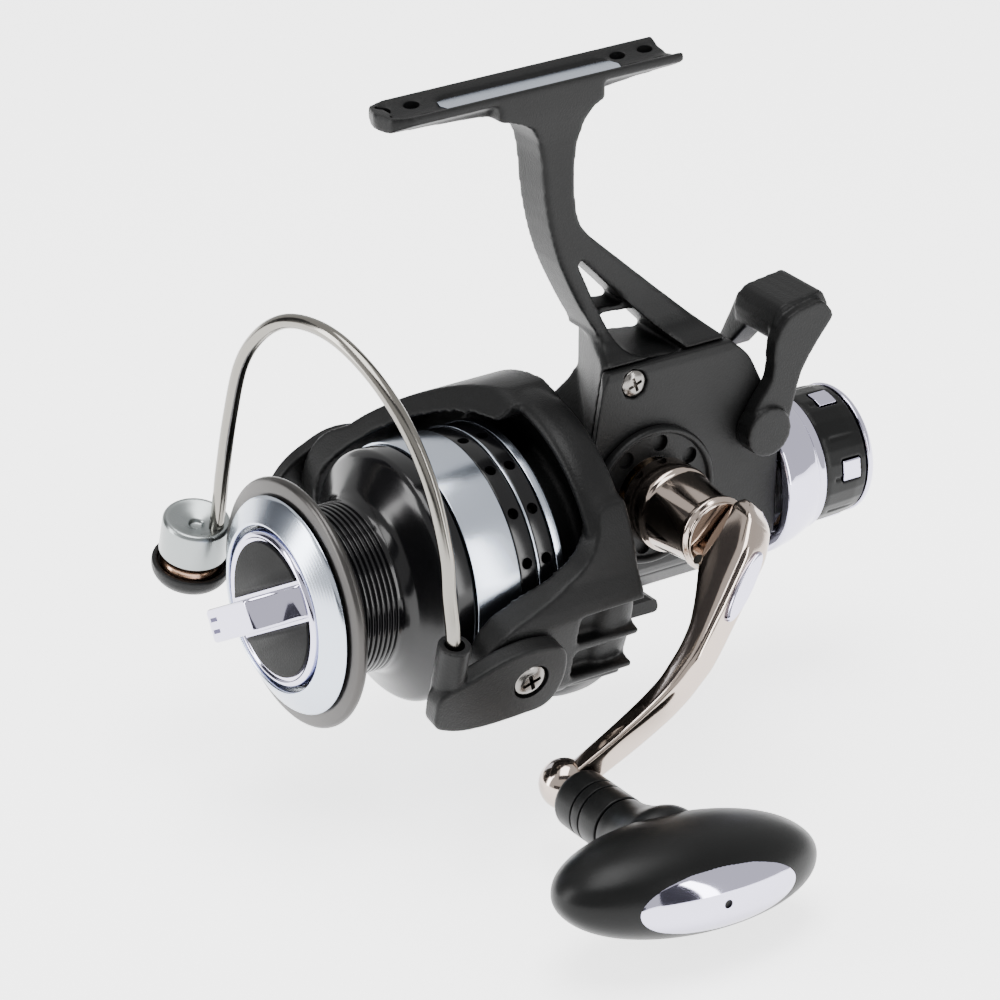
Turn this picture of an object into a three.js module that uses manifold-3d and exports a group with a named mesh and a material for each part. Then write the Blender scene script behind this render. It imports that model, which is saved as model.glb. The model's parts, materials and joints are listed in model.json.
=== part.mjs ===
// A rear-drag spinning reel, built as the separate pieces that it comes apart into.
// Millimetres, +Z up. The front of the reel (its spool) faces -Y and the handle is on the +X side.
// The origin is the middle of the foot's rim plane, where the foot beds against a rod.
import * as THREE from "three";
import { mergeVertices } from "three/addons/utils/BufferGeometryUtils.js";
import Module from "manifold-3d";

const wasm = await Module();
wasm.setup();

// ---------------------------------------------------------------- driving dimensions
const GAP = 0.3; // left between pieces that touch
const AXIS_Z = -96; // main shaft below the foot's rim plane
const FOOT_LENGTH = 66.6;
const FOOT_WIDTH = 11.5;
const BODY_HALF = 13.3; // half the width of the gear case
const COVER_IN = 10.9; // inner face of the side cover
const BODY_FRONT = 6.8; // front face of the gear case
const BODY_REAR = 51.5; // rear face of the gear case
const HANDLE_Y = 20.7;
const HANDLE_UP = 9.4; // handle shaft above the main shaft
const HANDLE_Z = AXIS_Z + HANDLE_UP;
const LIP_Y = -52.7; // front edge of the spool lip
const LIP_R = 25;
const SKIRT_R = 25.3;
const SHAFT_R = 2.2;
const ROTOR_TURN = THREE.MathUtils.degToRad(15); // rest angle of the rotor
const ARM_X = 34; // distance of the bail pivots from the main shaft
const PIVOT_Y = -22.5;
const CRANK_TURN = THREE.MathUtils.degToRad(-45);
const CRANK_R = 56.5; // handle shaft to knob shaft
const GEAR_TEETH = 30;
const PINION_TEETH = 6;
const FINE = 28; // sides of a large turned piece
const MEDIUM = 16;
const COARSE = 8;

// ---------------------------------------------------------------- finishes
const finish = (color, roughness, metalness) =>
  new THREE.MeshStandardMaterial({ color, roughness, metalness });
const MATT_BLACK = finish(0x2b2b2c, 0.62, 0);
const GLOSS_BLACK = finish(0x101012, 0.2, 0.6);
const SOFT_BLACK = finish(0x1d1e1e, 0.75, 0);
const DARK_SATIN = finish(0x55524e, 0.38, 0.9);
const BRIGHT = finish(0xd5d8e0, 0.14, 1);
const LILAC_CHROME = finish(0xc9c4dc, 0.1, 1);
const BLACK_NICKEL = finish(0x9a8578, 0.12, 1);
const STEEL = finish(0xb8b4ac, 0.25, 1);
const SATIN_ALUMINIUM = finish(0xb9c0bf, 0.35, 1);
const BRASS = finish(0xb08a4a, 0.35, 1);
const COPPER = finish(0xa8795a, 0.25, 1);
const ZINC = finish(0x8c8f92, 0.45, 1);
const FIBRE = finish(0x6b5a48, 0.85, 0);

// ---------------------------------------------------------------- making solids
function toSolid(geometry) {
  geometry.deleteAttribute("normal");
  geometry.deleteAttribute("uv");
  const merged = mergeVertices(geometry, 1e-4);
  const index = merged.index.array;
  const kept = [];
  for (let i = 0; i < index.length; i += 3) {
    const [a, b, c] = [index[i], index[i + 1], index[i + 2]];
    if (a !== b && b !== c && c !== a) kept.push(a, b, c);
  }
  const build = (triangles) =>
    new wasm.Manifold(
      new wasm.Mesh({
        numProp: 3,
        vertProperties: merged.attributes.position.array,
        triVerts: new Uint32Array(triangles),
      }),
    );
  const solid = build(kept);
  if (solid.volume() >= 0) return solid;
  return build(kept.reverse());
}

function toGeometry(solid) {
  const mesh = solid.getMesh();
  const geometry = new THREE.BufferGeometry();
  geometry.setAttribute("position", new THREE.BufferAttribute(mesh.vertProperties.slice(), 3));
  geometry.setIndex(new THREE.BufferAttribute(mesh.triVerts.slice(), 1));
  return geometry;
}

const cut = (solid, ...tools) => tools.reduce((left, tool) => left.subtract(tool), solid);
const join = (solid, ...others) => others.reduce((left, other) => left.add(other), solid);
const common = (solid, ...others) => others.reduce((left, other) => left.intersect(other), solid);

// A closed outline of [u, v, corner radius] points; a corner with a radius is rounded off.
function outline(points) {
  const shape = new THREE.Shape();
  points.forEach(([u, v, radius = 0], i) => {
    const corner = new THREE.Vector2(u, v);
    const before = new THREE.Vector2(...points.at(i - 1));
    const after = new THREE.Vector2(...points[(i + 1) % points.length]);
    const reach = Math.min(radius, 0.48 * corner.distanceTo(before), 0.48 * corner.distanceTo(after));
    const start = corner.clone().add(before.sub(corner).setLength(reach));
    const end = corner.clone().add(after.sub(corner).setLength(reach));
    if (i === 0) shape.moveTo(start.x, start.y);
    else shape.lineTo(start.x, start.y);
    if (radius > 0) shape.quadraticCurveTo(corner.x, corner.y, end.x, end.y);
  });
  shape.closePath();
  return shape;
}

const axes = (x, y, z) =>
  new THREE.Matrix4().makeBasis(new THREE.Vector3(...x), new THREE.Vector3(...y), new THREE.Vector3(...z));
const ALONG_X = axes([0, 1, 0], [0, 0, 1], [1, 0, 0]); // outline (y, z), pushed along +X
const ALONG_Y = axes([1, 0, 0], [0, 0, 1], [0, -1, 0]); // outline (x, z), pushed along -Y
const FLAT = new THREE.Matrix4(); // outline (x, y), pushed along +Z

function pushed(shape, depth, placing, curveSegments = 2) {
  const geometry = new THREE.ExtrudeGeometry(shape, { depth, bevelEnabled: false, curveSegments });
  return toSolid(geometry.applyMatrix4(placing));
}
const alongX = (points, from, to) =>
  pushed(outline(points), to - from, new THREE.Matrix4().makeTranslation(from, 0, 0).multiply(ALONG_X));
const alongY = (points, from, to) =>
  pushed(outline(points), to - from, new THREE.Matrix4().makeTranslation(0, to, 0).multiply(ALONG_Y));
const alongZ = (points, from, to) =>
  pushed(outline(points), to - from, new THREE.Matrix4().makeTranslation(0, 0, from).multiply(FLAT));

// A turned piece: [radius, distance along the axis] points, about Y, X or Z.
function turned(profile, sides = FINE) {
  const points = profile.map(([r, along]) => new THREE.Vector2(r, along));
  points.push(points[0].clone());
  return toSolid(new THREE.LatheGeometry(points, sides));
}
const onX = (solid, y = 0, z = 0) => solid.rotate([0, 0, -90]).translate([0, y, z]);
const ring = (outer, inner, from, to, sides = FINE) =>
  turned([[inner, from], [outer, from], [outer, to], [inner, to]], sides);
const rod = (radius, from, to, sides = MEDIUM) => ring(radius, 0, from, to, sides);
const box = (x0, x1, y0, y1, z0, z1) =>
  toSolid(
    new THREE.BoxGeometry(x1 - x0, y1 - y0, z1 - z0).translate((x0 + x1) / 2, (y0 + y1) / 2, (z0 + z1) / 2),
  );
const ball = (radius, x, y, z, sides = 16) =>
  toSolid(new THREE.SphereGeometry(radius, sides, sides / 2).translate(x, y, z));

// A round bar along a smooth curve through the points.
function bar(points, radius, sides, steps) {
  const curve = new THREE.CatmullRomCurve3(points.map((p) => new THREE.Vector3(...p)));
  const section = new THREE.Shape();
  for (let i = 0; i < sides; i += 1) {
    const angle = (i / sides) * 2 * Math.PI;
    const [u, v] = [radius * Math.cos(angle), radius * Math.sin(angle)];
    if (i === 0) section.moveTo(u, v);
    else section.lineTo(u, v);
  }
  section.closePath();
  return toSolid(new THREE.ExtrudeGeometry(section, { extrudePath: curve, steps, bevelEnabled: false }));
}

// A toothed wheel about Y: the teeth are trapezoids between the root and the tip radius.
function toothed(teeth, root, tip, from, to, bore) {
  const pitch = (2 * Math.PI) / teeth;
  const points = [];
  for (let i = 0; i < teeth; i += 1) {
    for (const [share, radius] of [[-0.3, root], [-0.14, tip], [0.14, tip], [0.3, root]]) {
      const angle = (i + share) * pitch;
      points.push([radius * Math.sin(angle), radius * Math.cos(angle)]);
    }
  }
  const wheel = alongY(points, from, to);
  return bore > 0 ? cut(wheel, rod(bore, from - 1, to + 1)) : wheel;
}

// Copies of a tool set round the Y axis, as one solid of separate bodies.
function around(count, make, start = 0) {
  const tools = [];
  for (let i = 0; i < count; i += 1) tools.push(make().rotate([0, start + (i * 360) / count, 0]));
  return tools;
}

// ---------------------------------------------------------------- groups
const reel = new THREE.Group();
const onAxis = new THREE.Group(); // about the main shaft
onAxis.position.z = AXIS_Z;
const rotorGroup = new THREE.Group();
rotorGroup.position.z = AXIS_Z;
rotorGroup.rotation.y = ROTOR_TURN;
const handleGroup = new THREE.Group(); // about the handle shaft
handleGroup.position.set(0, HANDLE_Y, HANDLE_Z);
const crankGroup = new THREE.Group(); // the crank hangs along -Z in here
crankGroup.rotation.x = CRANK_TURN;
handleGroup.add(crankGroup);
const gripGroup = new THREE.Group(); // about the knob shaft, kept level
gripGroup.position.set(0, 0, -CRANK_R);
gripGroup.rotation.x = -CRANK_TURN;
crankGroup.add(gripGroup);
reel.add(onAxis, rotorGroup, handleGroup);

function add(name, solid, material, group = reel) {
  const mesh = new THREE.Mesh(toGeometry(solid), material);
  mesh.name = name;
  group.add(mesh);
}

// ---------------------------------------------------------------- gear case, stem and foot
const HALF_FOOT = FOOT_LENGTH / 2;
const LEVER_Y = 46.5; // pivot of the free-spool lever
const LEVER_Z = -78.5;
const SWITCH_Y = 24;

const sideOutline = [
  [-HALF_FOOT, 0], [-HALF_FOOT, -3.2, 0.8], [-25.8, -3.6], [-9.4, -5, 3], [-0.6, -8, 4],
  [1.4, -15, 4], [1.8, -22, 4], [3, -29.5, 4], [5.4, -38, 4], [10.2, -48, 4], [14.6, -55.6, 2], [11.2, -59, 3],
  [BODY_FRONT + 0.6, -68, 4], [BODY_FRONT, -80], [BODY_FRONT, -110, 2], [10, -112.2, 2],
  [BODY_REAR, -111.5, 1], [BODY_REAR + 0.8, -79, 5], [44.7, -63, 2], [9.8, -31, 5],
  [8.8, -24, 4], [8.9, -14, 4], [12, -5.6, 5], [24, -3.8], [HALF_FOOT, -3], [HALF_FOOT, 0],
];
const STEM_HALF = 4.9;
// Seen from the front, the cover's side is full from the top of the case and the other side narrows to the stem.
const frontSection = [
  [-FOOT_WIDTH / 2, 1], [FOOT_WIDTH / 2, 1], [FOOT_WIDTH / 2, -6, 2], [STEM_HALF, -12, 3], [STEM_HALF, -50, 4],
  [6.5, -56, 2], [BODY_HALF, -59, 2], [BODY_HALF, -103.4, 2], [5, -112.4, 2],
  [-5, -112.4, 2], [-BODY_HALF, -103.4, 2], [-BODY_HALF, -78, 3], [-5.5, -68, 3], [-STEM_HALF, -50, 4],
  [-STEM_HALF, -12, 3], [-FOOT_WIDTH / 2, -6, 2],
];
const mirrored = (points) => [
  ...points,
  ...points.slice(1, -1).reverse().map(([u, ...rest]) => [-u, ...rest]),
];
const plan = [
  [-14, 60], [-14, -12], [-FOOT_WIDTH / 2, -14], [-FOOT_WIDTH / 2, -HALF_FOOT, 5.4],
  [FOOT_WIDTH / 2, -HALF_FOOT, 5.4], [FOOT_WIDTH / 2, -14], [14, -12], [14, 60],
];

// Takes the front of the case back towards the narrow side, fading out above the nose.
function frontBevel() {
  const level = (near, far, z) => [[14, -10, z], [14, near, z], [-5.5, far, z], [-14, far, z], [-14, -10, z]];
  return wasm.Manifold.hull([...level(10.6, 16.4, -55.4), ...level(8.8, 16.4, -64.6), ...level(BODY_FRONT, BODY_FRONT, -78)]);
}

function gearCaseBlock() {
  const block = common(alongX(sideOutline, -14, 14), alongY(frontSection, -40, 60), alongZ(plan, -114, 0));
  return cut(block, frontBevel());
}

const TROUGH_R = 8.6;
const TROUGH_UP = 7; // centre of the trough's arc above the rim plane
function footCuts() {
  const trough = rod(TROUGH_R, -HALF_FOOT + 3.2, HALF_FOOT + 1).translate([0, 0, TROUGH_UP]);
  const platePocket = alongZ([[-3, -19, 2.8], [3, -19, 2.8], [3, 22, 2.8], [-3, 22, 2.8]], -2.2, 0);
  const cuts = [trough, platePocket];
  for (const [from, to] of [[-40, -9], [15, 40]]) {
    for (const side of [-1, 1]) {
      cuts.push(alongY([[5.9 * side, -1.5], [5.9 * side, -5.6], [1.6 * side, -5.6], [3.4 * side, -3]], from, to));
    }
  }
  for (const end of [-1, 1]) {
    for (const y of [23.4, 29.8]) {
      for (const side of [-1, 1]) {
        const dimple = toSolid(new THREE.CylinderGeometry(1, 1, 3, 8));
        cuts.push(dimple.scale([0.9, 1, 1.5]).rotate([90, 0, 0]).translate([2.6 * side, y * end, -0.6]));
      }
    }
  }
  return cuts;
}

function windowCut() {
  const opening = alongX([[8.5, -36, 1.5], [18.2, -58, 1.5], [31.5, -60, 1.5]], -15, 15);
  const rib = alongX([[12, -49.6], [28, -50.6], [28, -52], [12, -51]], -3.2, 3.2);
  return cut(opening, rib);
}

const hollowSide = [[8.8, -112], [8.8, -80], [20, -69], [43, -69], [48.4, -77.5], [48.4, -112]];
const caseHollow = () => common(alongX(hollowSide, -14, 14), alongY(
    [[-2.6, -64], [COVER_IN - GAP, -64], [COVER_IN - GAP, -102.6], [3.4, -109.6], [-3.4, -109.6], [-10.8, -102.6], [-10.8, -80.4], [-2.6, -70]],
    8.8, 48.4,
  ));
const coverArea = (from) =>
  alongX([[5, -59.2 + (COVER_IN - from)], [60, -59.2 + (COVER_IN - from)], [60, -115], [5, -115]], from, 16);
const axisRod = (radius, from, to) => rod(radius, from, to, MEDIUM).translate([0, 0, AXIS_Z]);
const handleRod = (radius, from, to) => onX(rod(radius, from, to, MEDIUM), HANDLE_Y, HANDLE_Z);
const screwPlaces = [[17.2, -62.6], [11.5, -100.5], [38.5, -101.5]];
const LEVER_HOLE = 3.4;

const nose = cut(
  ring(15.6, 12.6, -7.6, BODY_FRONT + 1),
  box(COVER_IN - GAP, 20, 5.4, 9, -16, 16),
).translate([0, 0, AXIS_Z]);
const screwHoles = () => screwPlaces.map(([y, z]) => onX(rod(1.5, 3, 16, COARSE), y, z));
const leverBores = () => onX(rod(LEVER_HOLE, 2, 16, MEDIUM), LEVER_Y, LEVER_Z);

let gearCase = cut(gearCaseBlock(), ...footCuts(), windowCut(), caseHollow(), coverArea(COVER_IN - GAP));
gearCase = join(gearCase, nose);
gearCase = cut(
  gearCase, axisRod(9.6, 0, 9.5), axisRod(8, 40, 60), handleRod(7.5, -20, -9),
  leverBores(), ...screwHoles(),
  rod(1.9 + GAP, 0, 6, COARSE).rotate([90, 0, 0]).translate([0, SWITCH_Y, -114]),
);
add("gear_case", gearCase, MATT_BLACK);

let cover = common(gearCaseBlock(), coverArea(COVER_IN));
const countersinks = screwPlaces.map(([y, z]) => onX(rod(3.1, BODY_HALF - 1.4, 16, COARSE), y, z));
cover = cut(cover, handleRod(7.5, 8, 20), leverBores(), ...screwHoles(), ...countersinks);
add("side_cover", cover, MATT_BLACK);

// Pan-headed cross-slot screws, one node each.
function crossScrew(headR, headUp, shankR, shankDown) {
  const body = turned(
    [[0, -shankDown], [shankR, -shankDown], [shankR, 0], [headR, 0], [headR, headUp * 0.5], [headR * 0.6, headUp], [0, headUp]],
    COARSE,
  );
  const slot = box(-headR * 0.55, headR * 0.55, headUp * 0.4, headUp + 1, -headR * 0.13, headR * 0.13);
  return cut(body, slot, slot.rotate([0, 90, 0]));
}
screwPlaces.forEach(([y, z], i) => {
  const screw = onX(crossScrew(2.8, 1.3, 1.2, 7.5), y, z).translate([BODY_HALF - 1.1, 0, 0]);
  add(`cover_screw_${i + 1}`, screw, STEEL);
});

add(
  "foot_plate",
  alongZ([[-2.7, -18.7, 2.5], [2.7, -18.7, 2.5], [2.7, 21.7, 2.5], [-2.7, 21.7, 2.5]], -1.9, -1.5),
  BRIGHT,
);

// The dished seat round the handle shaft, with its ring of vents.
const VENTS = 8;
let seat = turned([
  [8.1, 0], [14.4, 0], [14.4, 1.5], [13.9, 2.1], [13.2, 1.9], [12.9, 0.9], [8.1, 0.9],
]);
seat = cut(seat, ...around(VENTS, () => rod(1.7, -1, 3, 8).translate([10.8, 0, 0]), 10));
add("handle_seat", onX(seat).translate([BODY_HALF + GAP, 0, 0]), MATT_BLACK, handleGroup);

// ---------------------------------------------------------------- bearings and the anti-reverse clutch
add("handle_bearing_near", onX(ring(7.2, 4.3, 9.2, 12.6, MEDIUM)), STEEL, handleGroup);
add("handle_bearing_far", onX(ring(7.2, 4.3, -12.8, -9.6, MEDIUM)), STEEL, handleGroup);
add("pinion_bearing", ring(9.3, 4.9, 5.2, 9.2, MEDIUM), STEEL, onAxis);
add("anti_reverse_clutch", ring(12.3, 9, -6.8, 2.2, MEDIUM), STEEL, onAxis);

// The small switch under the case that lets the clutch off.
add(
  "anti_reverse_switch",
  join(
    rod(1.9, 0, 11, COARSE).rotate([90, 0, 0]).translate([0, SWITCH_Y, -118]),
    alongX([[SWITCH_Y - 2.4, -117, 1], [SWITCH_Y + 7, -117, 2], [SWITCH_Y + 7, -120, 1], [SWITCH_Y - 2.4, -119.8, 1]], -2.6, 2.6),
  ),
  MATT_BLACK,
);

// ---------------------------------------------------------------- rear housing and drag
add(
  "rear_bell",
  turned([
    [14.6, 52.3 + GAP], [16.8, 52.3 + GAP], [16.9, 54], [16.2, 58], [15, 61.4], [14.3, 62.4], [14.4, 63.9],
    [13.2, 63.9], [13, 62], [14.4, 57],
  ]),
  LILAC_CHROME, onAxis,
);
add("drag_stud", ring(6.2, 3.2, 45, 70, MEDIUM), ZINC, onAxis);
add("drag_sleeve", ring(2.9, SHAFT_R + GAP, 44, 68, COARSE), BRASS, onAxis);
const DISC_AT = [53.4, 55.4];
DISC_AT.forEach((at, i) => add(`drag_disc_${i + 1}`, ring(12.4, 6.6, at, at + 1.2, MEDIUM), i ? FIBRE : ZINC, onAxis));

const SPRING_R = 8.6;
const coil = [];
for (let i = 0; i <= 36; i += 1) {
  const angle = (i / 12) * 2 * Math.PI;
  coil.push([SPRING_R * Math.cos(angle), 58.2 + i * 0.13, SPRING_R * Math.sin(angle)]);
}
add("drag_spring", bar(coil, 0.6, 5, 32), STEEL, onAxis);

const KNOB_FRONT = 64.4;
const KNOB_REAR = 75;
const WINDOW_COUNT = 5;
const WINDOW_START = 12;
const windowBlock = (grow, low) =>
  box(-2.1 - grow, 2.1 + grow, 68.6 - grow, 72.8 + grow, low, 15);
let dragKnob = turned([
  [6.7, KNOB_FRONT], [13.5, KNOB_FRONT], [13.7, 65.4], [13.5, 72], [13.2, KNOB_REAR - GAP],
  [11.8, KNOB_REAR - GAP], [11.8, 66.4], [6.7, 66.4],
]);
const gripGrooves = around(10, () => rod(0.9, 66.5, 73, 6).translate([0, 0, 14.1]), 18);
dragKnob = cut(dragKnob, ...around(WINDOW_COUNT, () => windowBlock(GAP, 9), WINDOW_START), ...gripGrooves);
add("drag_knob", dragKnob, SOFT_BLACK, onAxis);
const windows = around(WINDOW_COUNT, () => windowBlock(0, 11)).map((block) => common(block, ring(13.7, 10, 60, 80)));
add("drag_knob_windows", join(ring(11.5, 10.4, 67, 74.6), ...windows).rotate([0, WINDOW_START, 0]), LILAC_CHROME, onAxis);
add(
  "drag_knob_end_ring",
  turned([[8, KNOB_REAR], [13.3, KNOB_REAR], [13.4, 75.6], [12.9, 76.6], [11.6, 76.9], [11, 76.2], [8, 76.2]]),
  LILAC_CHROME, onAxis,
);
add(
  "drag_knob_cap",
  turned([[0, KNOB_REAR + 1.5], [7.6, KNOB_REAR + 1.5], [10.6, 76.5], [10.4, 77], [6, 77.9], [0, 78.2]], MEDIUM),
  SOFT_BLACK, onAxis,
);

// ---------------------------------------------------------------- free-spool lever
const LEVER_IN = BODY_HALF + GAP;
const LEVER_OUT = 17;
const armOutline = [
  [LEVER_Y - 5.2, LEVER_Z - 1, 3], [LEVER_Y - 1, LEVER_Z - 5.2, 3], [LEVER_Y + 4.2, LEVER_Z - 3.8, 3],
  [LEVER_Y + 6.4, LEVER_Z + 4, 3], [LEVER_Y + 8.2, -67.5, 3], [LEVER_Y + 13, -61, 2],
  [LEVER_Y + 16.2, -57.4, 1.5], [LEVER_Y + 13, -53.4, 1.5], [LEVER_Y + 4.4, -55, 3],
  [LEVER_Y + 1.4, -60, 3], [LEVER_Y + 1.6, -68, 3], [LEVER_Y - 3, LEVER_Z + 5.4, 3],
];
const padOutline = [
  [LEVER_Y + 2.2, -57.6, 2], [LEVER_Y + 4.6, -53.8, 1.5], [LEVER_Y + 14.6, -52.6, 1],
  [LEVER_Y + 16.4, -56.6, 1], [LEVER_Y + 12.6, -61.4, 1], [LEVER_Y + 3.4, -61.6, 1],
];
const leverArm = alongX(armOutline, LEVER_IN, LEVER_OUT);
const leverBoss = onX(rod(5.2, LEVER_IN, LEVER_OUT + 1.2), LEVER_Y, LEVER_Z);
const pivotStub = onX(rod(LEVER_HOLE - GAP, 8.6, LEVER_IN + 1, COARSE), LEVER_Y, LEVER_Z);
const PAD_IN = 1.5;
const leg = alongY([[-5, -67.4], [-2, -68.6], [4, -62], [7, -56], [PAD_IN, -55], [-1, -60]], LEVER_Y + 3.4, LEVER_Y + 9.4);
const ribGrooves = [0, 1, 2, 3].map((i) =>
  box(PAD_IN + 1.4, 13, LEVER_Y + 6.2 + i * 2, LEVER_Y + 6.9 + i * 2, -53.6 + i * 0.24, -50),
);
const lever = cut(join(leverArm, leverBoss, pivotStub, alongX(padOutline, PAD_IN, LEVER_IN + 1), leg), ...ribGrooves);
add("free_spool_lever", lever, MATT_BLACK);

// ---------------------------------------------------------------- handle train
const driveGear = join(
  toothed(GEAR_TEETH, 10.3, 11.5, 4.8, 7.6, 0),
  rod(4, -13, 14),
);
add("drive_gear", onX(cut(driveGear, rod(2.5, -14, 15))), BRASS, handleGroup);
add("handle_shaft", onX(rod(2.1, -19, 35, COARSE)), STEEL, handleGroup);
// The hub's ear carries the pin that the crank folds about, at the edge nearest the knob.
const PIN_X = 39.6;
const PIN_S = -6.2;
const ear = join(
  box(34.4, PIN_X, -1.8, 1.8, PIN_S - 2.1, PIN_S + 2.1),
  rod(2.1, -1.8, 1.8, COARSE).translate([PIN_X, 0, PIN_S]),
);
const hub = onX(
  turned([
    [2.5, 16.4], [8.3, 16.4], [8.9, 17.2], [8.9, 22.8], [8.2, 23.6], [7.2, 33.4], [7.1, 34.4],
    [7.7, 34.8], [7.7, 35.8], [6.9, 36.2], [6.9, 37], [0, 37], [0, 35.4], [2.5, 35.4],
  ]),
);
const pinHole = rod(1.4, -9, 9, COARSE).translate([PIN_X, 0, PIN_S]);
add("handle_hub", cut(join(hub, ear), pinHole), BLACK_NICKEL, crankGroup);
add("crank_pin", rod(1.1, -3.5, 3.5, COARSE).translate([PIN_X, 0, PIN_S]), STEEL, crankGroup);
add(
  "handle_shaft_cap",
  onX(
    turned([
      [0, -22], [4, -22], [6.4, -20.8], [7.6, -18], [8.4, -14.4], [8.2, -13.8], [2.5, -13.8], [2.5, -19.4], [0, -19.4],
    ], MEDIUM),
  ),
  BLACK_NICKEL, handleGroup,
);

// The crank lies in its own x-z plane, hanging along -Z; s is the distance from the handle shaft.
const crankOuter = [[37.4, 8.2, 2], [43.2, 7.6, 3], [48.6, 1, 4], [52.4, -13.4, 8], [54.8, -25, 8], [53.4, -35, 8], [48.4, -49, 5], [45.6, -57, 2]];
const crankInner = [[41, -57, 2], [43.8, -49, 6], [47.2, -39, 8], [49.2, -29, 8], [47.6, -18, 6], [39.6, -7.6, 2], [37.4, -7, 1]];
const crankSide = alongY([...crankOuter, ...crankInner], -8, 8);
const crankWidth = alongX(
  mirrored([[0, 9], [3, 9], [3.8, 5], [3.7, -4], [3.4, -14], [3.2, -30], [2.9, -50], [2.8, -60], [0, -60]]),
  30, 62,
);
const KNOB_AXIS_S = -CRANK_R;
const BALL_X = 43.4;
const crankBall = ball(5.1, BALL_X, -0.6, KNOB_AXIS_S + 0.6, 20);
const INLAY_TILT = 16.1; // degrees that the inlay leans with the crank's outer edge
const inlayOutline = mirrored([[0, 1.2], [1.5, 0, 1], [1.9, -7, 2], [1.5, -13.5, 1], [0, -15]]);
const inlayTilt = (solid) => solid.rotate([0, -INLAY_TILT, 0]).translate([48.9, 0, 0]);
const crank = cut(
  join(common(crankSide, crankWidth), crankBall),
  box(30, PIN_X + 2.6, -2.2, 2.2, PIN_S - 3.3, PIN_S + 3),
  pinHole,
  onX(rod(1.9, BALL_X - 1, 60, COARSE)).translate([0, 0, KNOB_AXIS_S]),
  onX(rod(6.6, 47.7, 70)).translate([0, 0, KNOB_AXIS_S]),
  inlayTilt(alongX(inlayOutline, -0.4, 6).scale([1, 1.12, 1.04])),
);
add("crank_arm", crank, BLACK_NICKEL, crankGroup);
add("crank_inlay", inlayTilt(alongX(inlayOutline, 0, 0.7)), LILAC_CHROME, crankGroup);
add("knob_shaft", onX(rod(1.6, BALL_X + 0.2, 85, COARSE)), STEEL, gripGroup);

// ---------------------------------------------------------------- grip
add(
  "knob_neck",
  onX(turned([[2, 48], [5.6, 48], [6, 48.8], [6.1, 62], [2, 62]], MEDIUM)),
  SOFT_BLACK, gripGroup,
);
const KNOB_MID = 83;
const KNOB_TILT = 5.5; // degrees that the knob's front end is raised at rest
const gripBody = toSolid(new THREE.SphereGeometry(1, 20, 12).rotateX(Math.PI / 2)).scale([13.4, 28.6, 10.6]);
const gripRoot = onX(turned([[0, 62 + GAP], [6, 62 + GAP], [6.4, 65], [8, 69.5], [10, 73.6], [0, 78]], MEDIUM));
const inlaySpace = (grow) => {
  const oval = toSolid(new THREE.CylinderGeometry(1, 1, 20, MEDIUM).rotateZ(Math.PI / 2));
  return oval.scale([1, 17.6 + grow, 6.4 + grow]).translate([KNOB_MID + 14, 0, 0]);
};
const inlayShell = (shrink) =>
  toSolid(new THREE.SphereGeometry(1, 20, 12).rotateX(Math.PI / 2))
    .scale([13.4 - shrink, 28.6 - shrink, 10.6 - shrink])
    .translate([KNOB_MID, 0, 0]);
let grip = join(gripBody.translate([KNOB_MID, 0, 0]), gripRoot);
grip = cut(grip, cut(inlaySpace(GAP), inlayShell(1.2)), onX(rod(2, 50, 87, COARSE)));
add("knob_grip", grip.rotate([-KNOB_TILT, 0, 0]), SOFT_BLACK, gripGroup);
add(
  "knob_inlay",
  cut(common(inlaySpace(0), inlayShell(-0.15)), inlayShell(0.8), onX(rod(0.9, 80, 99, 10))).rotate([-KNOB_TILT, 0, 0]),
  LILAC_CHROME, gripGroup,
);

// ---------------------------------------------------------------- oscillation
const OSC_Y = 33;
const OSC_Z = AXIS_Z + 1;
const osc = join(toothed(16, 7.4, 8.6, -8.4, -6.4, 0), rod(1.3, -6.6, -5.2, COARSE).translate([0, 0, 6.2]));
add(
  "oscillation_gear",
  cut(onX(osc.rotate([0, -90, 0])), onX(rod(2.3, -9, -4, COARSE))).translate([0, OSC_Y, OSC_Z]),
  ZINC,
);
add("oscillation_axle", onX(rod(1.9, -10.7, -5.6, COARSE), OSC_Y, OSC_Z), STEEL);
const slider = cut(
  box(-4.7, 4.4, 37.4, 42.4, AXIS_Z - 8.4, AXIS_Z + 4.6),
  axisRod(SHAFT_R + GAP, 30, 50),
  rod(1.7, 30, 50, COARSE).translate([0, 0, AXIS_Z - 6.2]),
);
add("slider_block", slider, BRASS);
add("guide_rod", rod(1.3, 9.2, 44.6, COARSE).translate([0, 0, AXIS_Z - 6.2]), STEEL);

// ---------------------------------------------------------------- spool and main shaft
add("main_shaft", rod(SHAFT_R, -58, 66, MEDIUM), STEEL, onAxis);

const ARBOR_FRONT = -50.5;
const HOLE_COUNT = 12;
const ROW_1 = -15;
const ROW_2 = -10.5;
let spool = turned([
  [2.6, ARBOR_FRONT], [16.6, ARBOR_FRONT], [16.8, -38.4], [17.8, -36.6], [21, -34.4], [24.4, -32.6],
  [25.2, -31.6], [25.2, -27.6], [24.6, -27.4], [24.6, -16.9], [SKIRT_R, -16.9], [SKIRT_R, -13.1],
  [24.6, -13.1], [24.6, -12.3], [SKIRT_R, -12.3], [SKIRT_R, -8.9], [24.6, -8.9], [24.6, -6.9],
  [22.8, -6.9], [22.8, -30], [21.6, -31.6], [16.4, -34.4], [15.2, -38], [14.8, -48.4],
  [6, -48.4], [6, -31], [2.6, -31],
]);
const skirtHoles = (y, start) =>
  around(HOLE_COUNT, () => rod(1.15, 20, 27, 6).rotate([90, 0, 0]).translate([0, y, 0]), start);
spool = cut(spool, ...skirtHoles(ROW_1, 0), ...skirtHoles(ROW_2, 0));
add("spool", spool, GLOSS_BLACK, onAxis);
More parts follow.
